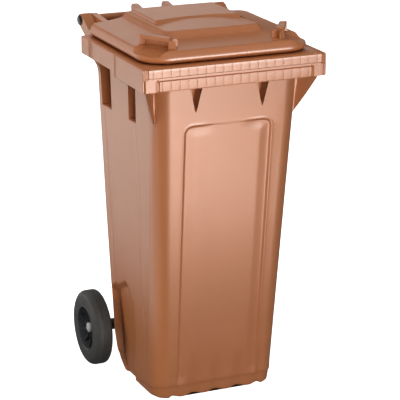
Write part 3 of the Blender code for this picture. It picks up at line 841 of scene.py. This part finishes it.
def lid_mesh(name):
    outer = [[scooped(p) for p in ring] for ring in lid_levels()] + plateau_levels()
    edge_in = ((0.0150, LID_FOOT), (0.0070, 0.9000), (0.0050, 0.9100), (0.0100, 0.9190), (0.0150, 0.9218))
    inner = [[scooped(p, 0.0035) for p in lid_edge(inset, z)] for inset, z in edge_in]
    foot = plateau_edge(0.1310, 0.1290, 0.4190, 0.9317, 0.013)
    start = inner[-1]
    for i in range(1, 6):
        rows = [a.lerp(b, i / 6) for a, b in zip(start, foot)]
        inner.append([scooped(p, 0.0035) for p in rows])
    inner += [foot, plateau_edge(0.1190, 0.1440, 0.4050, PLATEAU_TOP - 0.0045, 0.011)]
    bm = bmesh.new()

    def skin(rings, patch_height):
        made = [[bm.verts.new(point) for point in ring] for ring in rings]
        for low, high in zip(made, made[1:]):
            for i in range(len(low)):
                j = (i + 1) % len(low)
                bm.faces.new((low[i], low[j], high[j], high[i]))
        known = {tuple(round(c, 6) for c in vert.co.xy): vert for vert in made[-1]}
        grid = []
        for row in top_patch(rings[-1]):
            line = []
            for point in row:
                vert = known.get(tuple(round(c, 6) for c in point.xy))
                if vert is None:
                    vert = bm.verts.new((point.x, point.y, patch_height(point.x, point.y)))
                line.append(vert)
            grid.append(line)
        for row, above in zip(grid, grid[1:]):
            for a, b, c, d in zip(row, row[1:], above[1:], above):
                bm.faces.new((a, b, c, d))
        return made[0]

    low_out = skin(outer, top_height)
    low_in = skin(inner, lambda x, y: top_height(x, y) - LID_WALL)
    for i in range(len(low_out)):
        j = (i + 1) % len(low_out)
        bm.faces.new((low_out[i], low_out[j], low_in[j], low_in[i]))
    bmesh.ops.recalc_face_normals(bm, faces=bm.faces)
    mesh = bpy.data.meshes.new(name)
    bm.to_mesh(mesh)
    bm.free()
    return mesh


def lid_shell(brown):
    return add_object("lid_shell", lid_mesh("lid_shell"), brown, "lid", "lid", sharp=40)


def lid_lug(side, word, brown):
    outline = [(LID_REAR - 0.020, 0.9045)] + boss_arc(HINGE, 0.0157, -80, 100, 9)
    outline += [(LID_REAR + 0.015, 0.9215), (LID_REAR - 0.020, 0.9240)]
    mesh = prism_mesh("lid_lug_" + word, outline, side * LUG_IN, side * LUG_OUT)
    obj = add_object("lid_lug_" + word, mesh, brown, "lid", "lid")
    bored(obj, turned_mesh("bore", ((-0.19, LID_BORE), (0.19, LID_BORE)), HINGE, closed=False))
    return bevel(obj, 0.0010)


def lid_ear(side, word, brown):
    rear = -FRONT
    outline = [(LID_REAR - 0.020, 0.9080), (FRONT + 0.500, 0.9020)] + boss_arc(HINGE, 0.0165, -100, 0, 10)
    outline += [(rear - 0.003, 0.9200), (rear, 0.9300), (rear - 0.007, 0.9380)]
    outline += [(FRONT + 0.540, 0.9390), (FRONT + 0.505, 0.9330), (LID_REAR - 0.020, 0.9300)]
    mesh = prism_mesh("lid_ear_" + word, outline, side * EAR_IN, side * EAR_OUT)
    obj = add_object("lid_ear_" + word, mesh, brown, "lid", "lid")
    bored(obj, turned_mesh("bore", ((-0.19, LID_BORE), (0.19, LID_BORE)), HINGE, closed=False))
    return bevel(obj, 0.0010)


# The hood of the right corner grip in plan, as distances from the middle and behind the collar's front.
HOOD = {
    "front_out": (0.1497, 0.056),
    "front_in": (0.1370, 0.0735),
    "rear_in": (0.1790, 0.1395),
    "rear_out": (0.1970, 0.1360),
}
HOOD_TOP = 0.9515
HOOD_WALL = 0.0032


def slab(bm, outline, levels):
    """A solid in plan outline; levels are (z, grow) pairs, bottom up, grow moving the outline out."""
    centre = sum((Vector(p) for p in outline), Vector((0.0, 0.0))) / len(outline)
    rings = []
    for z, grow in levels:
        ring = []
        for p in outline:
            away = (Vector(p) - centre)
            at = centre + away * (1 + grow / max(0.004, away.length))
            ring.append(bm.verts.new((at.x, at.y, z)))
        rings.append(ring)
    count = len(outline)
    for low, high in zip(rings, rings[1:]):
        for i in range(count):
            j = (i + 1) % count
            bm.faces.new((low[i], low[j], high[j], high[i]))
    bm.faces.new(list(reversed(rings[0])))
    bm.faces.new(rings[-1])


def strip_outline(start, end, width, side=1):
    """A straight bar in plan from start to end, its width to one side."""
    a, b = Vector(start), Vector(end)
    run = (b - a).normalized()
    off = Vector((-run.y, run.x)) * width * side
    return [a, b, b + off, a + off]


def lid_grip(side, word, brown):
    """A corner grip: a hood with an inner wall and closed ends, open towards the corner."""
    points = {key: Vector((x, FRONT + y)) for key, (x, y) in HOOD.items()}
    fo, fi, ri, ro = points["front_out"], points["front_in"], points["rear_in"], points["rear_out"]
    bm = bmesh.new()
    wall = ((0.9230, 0.0022), (0.9290, 0.0012), (0.9330, 0.0004))
    wall += ((HOOD_TOP - 0.0030, 0.0), (HOOD_TOP - 0.0022, -0.0004))
    slab(bm, strip_outline(fi, ri, HOOD_WALL, -1), wall)
    slab(bm, strip_outline(fo, fi, HOOD_WALL, -1), wall)
    slab(bm, strip_outline(ri, ro, HOOD_WALL, -1), wall)
    top = ((HOOD_TOP - 0.0098, -0.0016), (HOOD_TOP - 0.0086, 0.0), (HOOD_TOP - 0.0036, 0.0))
    top += ((HOOD_TOP - 0.0016, -0.0008), (HOOD_TOP - 0.0004, -0.0022), (HOOD_TOP, -0.0040))
    slab(bm, [fo, ro, ri, fi], top)
    rib = ((0.9230, 0.0010), (0.9330, 0.0), (HOOD_TOP - 0.0050, -0.0004))
    slab(bm, strip_outline(fo, fo + Vector((-0.0120, -0.0060)), 0.0030, -1), rib)
    slab(bm, strip_outline(fi, fi + Vector((-0.0130, -0.0030)), 0.0030, 1), rib)
    if side < 0:
        bmesh.ops.scale(bm, vec=(-1, 1, 1), verts=bm.verts)
    bmesh.ops.recalc_face_normals(bm, faces=bm.faces)
    mesh = bpy.data.meshes.new("lid_grip_" + word)
    bm.to_mesh(mesh)
    bm.free()
    obj = add_object("lid_grip_" + word, mesh, brown, "lid", "lid", sharp=35)
    return bevel(obj, 0.0009, 3)


# ---- rod, axle and wheels ---------------------------------------------------------
def handle_rod(brown):
    half, radius, hollow = ARM_OUT - 0.0005, 0.0118, 0.0080
    profile = [(-half, radius), (half, radius), (half, hollow), (-half, hollow)]
    mesh = turned_mesh("handle_bar", profile, HINGE)
    return add_object("handle_bar", mesh, brown, "root", "handle_rod")


def rod_cap(side, word, black):
    profile = [(ARM_OUT - 0.020, 0.0077), (ARM_OUT + 0.0003, 0.0077), (ARM_OUT + 0.0003, 0.0130)]
    profile += [(ARM_OUT + 0.0018, 0.0130), (ARM_OUT + 0.0030, 0.0124), (ARM_OUT + 0.0044, 0.0110)]
    profile += [(ARM_OUT + 0.0055, 0.0088), (ARM_OUT + 0.0062, 0.0056), (ARM_OUT + 0.0062, 0.0015)]
    mesh = turned_mesh("bar_cap_" + word, profile, HINGE, side, 48, closed=False)
    return add_object("bar_cap_" + word, mesh, black, "root", "rod_cap_" + word)


def sleeve(side, word, black):
    x_in, x_out, radius = SPACER_LOW.x, SPACER_HIGH.x, 0.0150
    profile = [(x_in, 0.0103), (x_in, radius - 0.001), (x_in + 0.001, radius), (x_out - 0.001, radius)]
    profile += [(x_out, radius - 0.001), (x_out, 0.0103)]
    mesh = turned_mesh("sleeve_" + word, profile, AXLE, side)
    return add_object("sleeve_" + word, mesh, black, "root", "spacer_" + word)


def tyre_profile():
    """The solid tyre's section: a flat inner side, a ribbed tread, a bowed outer side with rings."""
    inner = 0.0609
    profile = [(WHEEL_IN, inner), (WHEEL_IN, 0.0700)]
    profile += [(WHEEL_IN + 0.0003, 0.0800), (WHEEL_IN + 0.0010, 0.0860)]
    for i in range(8):
        angle = math.radians(172 - 82 * i / 7)
        profile.append((
            WHEEL_IN + 0.011 + 0.0100 * math.cos(angle),
            WHEEL_R - 0.0100 + 0.0100 * math.sin(angle),
        ))
    low, high = WHEEL_IN + 0.012, WHEEL_OUT - 0.0156
    for k in range(26):
        rib = 0.0008 if k % 5 in (2, 3) else 0.0
        profile.append((low + (high - low) * (k + 0.5) / 26, WHEEL_R - rib))
    side = [(0.0150, 0.1000), (0.0112, 0.0991), (0.0078, 0.0974), (0.0048, 0.0950), (0.0026, 0.0922)]
    side += [(0.0011, 0.0895), (0.0003, 0.0870)]
    for radius in (0.0850, 0.0815, 0.0780, 0.0745, 0.0710, 0.0675):
        side += [(0.0001, radius), (0.0007, radius - 0.0004), (0.0001, radius - 0.0008)]
    side += [(0.0003, 0.0635), (0.0006, 0.0618), (0.0016, inner)]
    return profile + [(WHEEL_OUT - inset, radius) for inset, radius in side]


def tyre(side, word, rubber):
    mesh = turned_mesh("tyre_shape_" + word, tyre_profile(), AXLE, side, 120)
    bm = bmesh.new()
    bm.from_mesh(mesh)
    for degrees in (12, 84, 156, 228, 300):
        angle = math.radians(degrees)
        place = Vector((
            side * (WHEEL_OUT - 0.0038),
            AXLE.y + 0.0930 * math.cos(angle),
            AXLE.z + 0.0930 * math.sin(angle),
        ))
        nib = bmesh.ops.create_uvsphere(bm, u_segments=8, v_segments=6, radius=0.0020)
        bmesh.ops.translate(bm, vec=place, verts=nib["verts"])
    bm.to_mesh(mesh)
    bm.free()
    return add_object("tyre_shape_" + word, mesh, rubber, "wheel_" + word, "tyre_" + word, sharp=34)


SPOKES = 10


def spoke(bm, side, index):
    """One thin curved spoke between the hub and the barrel."""
    x_low = WHEEL_IN + 0.0180
    thick = 0.0010
    columns = []
    for k in range(9):
        t = k / 8
        radius = 0.0155 + (0.0574 - 0.0155) * t
        turn = math.tau * (index + 0.1) / SPOKES + 0.20 * math.sin(math.pi * t * 0.5)
        high = 0.2292 + 0.0060 * t * t
        column = []
        for x, off in ((x_low, -thick), (x_low, thick), (high, thick * 0.8), (high, -thick * 0.8)):
            angle = turn + off / radius
            column.append(bm.verts.new((
                side * x,
                AXLE.y + radius * math.cos(angle),
                AXLE.z + radius * math.sin(angle),
            )))
        columns.append(column)
    for a, b in zip(columns, columns[1:]):
        for i in range(4):
            j = (i + 1) % 4
            bm.faces.new((a[i], a[j], b[j], b[i]))
    bm.faces.new(columns[0])
    bm.faces.new(list(reversed(columns[-1])))


def rim(side, word, plastic):
    """Barrel, bead ring, dished web, hub and spokes."""
    hub_in, hub_out, bore, hub = 0.1966, 0.2225, 0.0135, 0.0170
    outer, edge_in, edge = 0.0605, WHEEL_IN + 0.003, WHEEL_OUT
    profile = [(hub_in, bore), (hub_in, hub), (WHEEL_IN + 0.0150, hub + 0.001), (WHEEL_IN + 0.0150, 0.0560)]
    profile += [(edge_in + 0.001, 0.0565), (edge_in, 0.0575), (edge_in, outer), (edge - 0.0030, outer)]
    profile += [(edge - 0.0012, 0.0604), (edge - 0.0004, 0.0599), (edge - 0.0001, 0.0590)]
    profile += [(edge - 0.0004, 0.0580), (edge - 0.0014, 0.0573), (edge - 0.0050, 0.0568)]
    profile += [(WHEEL_IN + 0.0280, 0.0560), (WHEEL_IN + 0.0225, 0.0545)]
    profile += [(WHEEL_IN + 0.0196, 0.0505), (WHEEL_IN + 0.0190, 0.0200), (WHEEL_IN + 0.0200, hub + 0.0006)]
    profile += [(hub_out - 0.001, hub), (hub_out, hub - 0.001), (hub_out, bore)]
    ring_mesh = turned_mesh("rim_shape_" + word, profile, AXLE, side, 96)
    bm = bmesh.new()
    bm.from_mesh(ring_mesh)
    for index in range(SPOKES):
        spoke(bm, side, index)
    bmesh.ops.recalc_face_normals(bm, faces=bm.faces)
    bm.to_mesh(ring_mesh)
    bm.free()
    return add_object(
        "rim_shape_" + word, ring_mesh, plastic, "wheel_" + word, "rim_" + word, sharp=40
    )


def hub_cap(side, word, grey):
    start, crown, radius = CAP_LOW.x, CAP_HIGH.x, 0.0135
    profile = [(start, radius - 0.0015), (start, radius), (crown - 0.0062, radius)]
    profile += [(crown - 0.0040, radius - 0.0006), (crown - 0.0022, radius - 0.0022)]
    profile += [(crown - 0.0008, radius - 0.0048), (crown, radius - 0.0080), (crown - 0.0001, 0.0034)]
    profile += [(crown - 0.0006, 0.0026), (crown - 0.0014, 0.0020), (crown - 0.0016, 0.0004)]
    mesh = turned_mesh("cap_shape_" + word, profile, AXLE, side, 56, closed=False)
    return add_object(
        "cap_shape_" + word, mesh, grey, "wheel_" + word, "hub_cap_" + word, sharp=50
    )


# ---- materials --------------------------------------------------------------------
def surface(
    name, dark, light, roughness, scale, bump_size, bump_strength, metallic=0.0, ior=1.5, spread=0.05
):
    """A moulded or machined surface: slow colour variation, uneven gloss and a fine relief."""
    made = bpy.data.materials.new(name)
    made.use_nodes = True
    nodes, links = made.node_tree.nodes, made.node_tree.links
    shader = nodes["Principled BSDF"]
    shader.inputs["Metallic"].default_value = metallic
    shader.inputs["IOR"].default_value = ior
    place = nodes.new("ShaderNodeTexCoord")

    def noise(size, detail):
        node = nodes.new("ShaderNodeTexNoise")
        node.inputs["Scale"].default_value = size
        node.inputs["Detail"].default_value = detail
        links.new(place.outputs["Object"], node.inputs["Vector"])
        return node

    cloud = noise(scale, 4.0)
    mix = nodes.new("ShaderNodeMix")
    mix.data_type = "RGBA"
    mix.inputs["A"].default_value = (*dark, 1.0)
    mix.inputs["B"].default_value = (*light, 1.0)
    links.new(cloud.outputs["Fac"], mix.inputs["Factor"])
    links.new(mix.outputs["Result"], shader.inputs["Base Color"])
    patches = noise(scale * 2.3, 3.0)
    gloss = nodes.new("ShaderNodeMapRange")
    gloss.inputs["To Min"].default_value = roughness - spread
    gloss.inputs["To Max"].default_value = roughness + spread
    links.new(patches.outputs["Fac"], gloss.inputs["Value"])
    links.new(gloss.outputs["Result"], shader.inputs["Roughness"])
    grain = noise(bump_size, 2.0)
    relief = nodes.new("ShaderNodeBump")
    relief.inputs["Strength"].default_value = bump_strength
    relief.inputs["Distance"].default_value = 0.0005
    links.new(grain.outputs["Fac"], relief.inputs["Height"])
    links.new(relief.outputs["Normal"], shader.inputs["Normal"])
    return made


def paint_node(name, material):
    """Gives a CAD node that is shown as it is its material."""
    mesh = frame["nodes"][name].data
    mesh.materials.clear()
    mesh.materials.append(material)


# ---- studio -------------------------------------------------------------------------
def area_light(name, place, target, size, power, seen):
    """A soft panel. Its last value says whether it lights matt surfaces, shows in gloss, or both."""
    data = bpy.data.lights.new(name, "AREA")
    data.shape = "RECTANGLE"
    data.size, data.size_y = size
    data.energy = power
    data.color = (1.0, 0.98, 0.95)
    light = bpy.data.objects.new(name, data)
    light.location = place
    light.rotation_euler = (Vector(target) - Vector(place)).to_track_quat("-Z", "Y").to_euler()
    light.visible_camera = False
    light.visible_diffuse = seen in ("matt", "both")
    light.visible_glossy = seen in ("gloss", "both")
    bpy.context.scene.collection.objects.link(light)
    return light


CAMERA_PLACE = (-1.7583, -4.0821, 1.8603)
CAMERA_TARGET = Vector((0.0059, -0.0461, 0.4825))
CAMERA_LENS = 162.46  # millimetres
FLOOR_GLOW = 1.0
WORLD_GLOW = 0.14
LIGHTS = {
    "top": ((-0.3, 0.0, 6.0), (0.0, 0.0, 0.0), (9.0, 9.0), 320.0, "matt"),
    "front_fill": ((-0.4, -3.6, 0.9), (0.0, 0.0, 0.5), (2.0, 1.6), 84.0, "matt"),
    "left_fill": ((-3.6, 0.4, 1.0), (0.0, 0.0, 0.5), (1.8, 2.0), 51.0, "matt"),
    "front_glow": ((0.3, -1.7, 0.03), (0.3, -1.7, 1.0), (0.9, 1.5), 44.0, "gloss"),
    "mid_card": ((0.45, -2.6, 0.5), (0.0, 0.0, 0.6), (1.3, 1.3), 44.0, "gloss"),
    "band_card": ((1.6, -5.0, 1.2), (0.0, 0.0, 0.9), (1.6, 1.6), 360.0, "gloss"),
    "left_card": ((-2.2, 3.0, 0.8), (0.0, 0.0, 0.6), (2.6, 2.4), 36.0, "gloss"),
    "left_floor": ((-1.5, 1.0, 0.02), (-1.5, 1.0, 1.0), (2.0, 3.0), 29.0, "gloss"),
    "back_card": ((1.0, 5.0, 2.6), (0.0, 0.0, 0.9), (3.0, 1.6), 18.0, "gloss"),
}


def studio_floor():
    mesh = bpy.data.meshes.new("studio_floor")
    bm = bmesh.new()
    corners = [bm.verts.new((x, y, 0.0)) for x, y in ((-30, -30), (30, -30), (30, 30), (-30, 30))]
    bm.faces.new(corners)
    bm.to_mesh(mesh)
    bm.free()
    pale = surface("pale_floor", (0.88, 0.88, 0.88), (0.90, 0.90, 0.90), 0.8, 3.0, 60.0, 0.02)
    shader = pale.node_tree.nodes["Principled BSDF"]
    shader.inputs["Emission Color"].default_value = (1.0, 1.0, 1.0, 1.0)
    shader.inputs["Emission Strength"].default_value = FLOOR_GLOW
    mesh.materials.append(pale)
    floor = bpy.data.objects.new("studio_floor", mesh)
    floor.visible_diffuse = False
    floor.visible_glossy = False
    bpy.context.scene.collection.objects.link(floor)


def studio_world():
    world = bpy.data.worlds.new("studio_world")
    world.use_nodes = True
    background = world.node_tree.nodes["Background"]
    background.inputs["Color"].default_value = (1.0, 0.99, 0.97, 1.0)
    background.inputs["Strength"].default_value = WORLD_GLOW
    bpy.context.scene.world = world


def studio():
    studio_floor()
    studio_world()
    for name, (place, target, size, power, seen) in LIGHTS.items():
        area_light(name, place, target, size, power, seen)
    camera = bpy.data.cameras.new("camera")
    camera.lens = CAMERA_LENS
    camera.sensor_width = 36.0
    camera_object = bpy.data.objects.new("camera", camera)
    camera_object.location = CAMERA_PLACE
    aim = CAMERA_TARGET - camera_object.location
    camera_object.rotation_euler = aim.to_track_quat("-Z", "Y").to_euler()
    bpy.context.scene.collection.objects.link(camera_object)
    bpy.context.scene.camera = camera_object
    bpy.context.scene.view_settings.view_transform = "Standard"


def build():
    brown = surface(
        "brown_plastic", (0.375, 0.128, 0.046), (0.425, 0.150, 0.055), 0.36, 9.0, 900.0, 0.10, spread=0.03
    )
    rubber = surface("tyre_rubber", (0.028, 0.027, 0.026), (0.044, 0.042, 0.040), 0.66, 40.0, 600.0, 0.25)
    rim_black = surface(
        "rim_plastic", (0.034, 0.037, 0.041), (0.048, 0.051, 0.056), 0.38, 30.0, 700.0, 0.10
    )
    black = surface("black_plastic", (0.014, 0.014, 0.016), (0.024, 0.024, 0.026), 0.42, 30.0, 700.0, 0.10)
    grey = surface("grey_plastic", (0.38, 0.37, 0.36), (0.48, 0.47, 0.46), 0.55, 50.0, 700.0, 0.08)
    steel = surface(
        "zinc_steel", (0.50, 0.51, 0.52), (0.62, 0.63, 0.64), 0.34, 80.0, 900.0, 0.15, metallic=1.0
    )
    tub_wall(brown)
    tub_collar(brown)
    lid_shell(brown)
    handle_rod(brown)
    paint_node("axle", steel)
    for side, word in SIDES:
        corner_ring(side, word, brown)
        gusset(side, word, brown)
        handle_arm(side, word, brown)
        axle_lug(side, word, brown)
        lid_lug(side, word, brown)
        lid_ear(side, word, brown)
        lid_grip(side, word, brown)
        rod_cap(side, word, black)
        sleeve(side, word, black)
        tyre(side, word, rubber)
        rim(side, word, rim_black)
        hub_cap(side, word, grey)
        paint_node("hub_bush_" + word, grey)
        for name in ("washer_inner_", "washer_outer_", "axle_clip_"):
            paint_node(name + word, steel)


build()
studio()
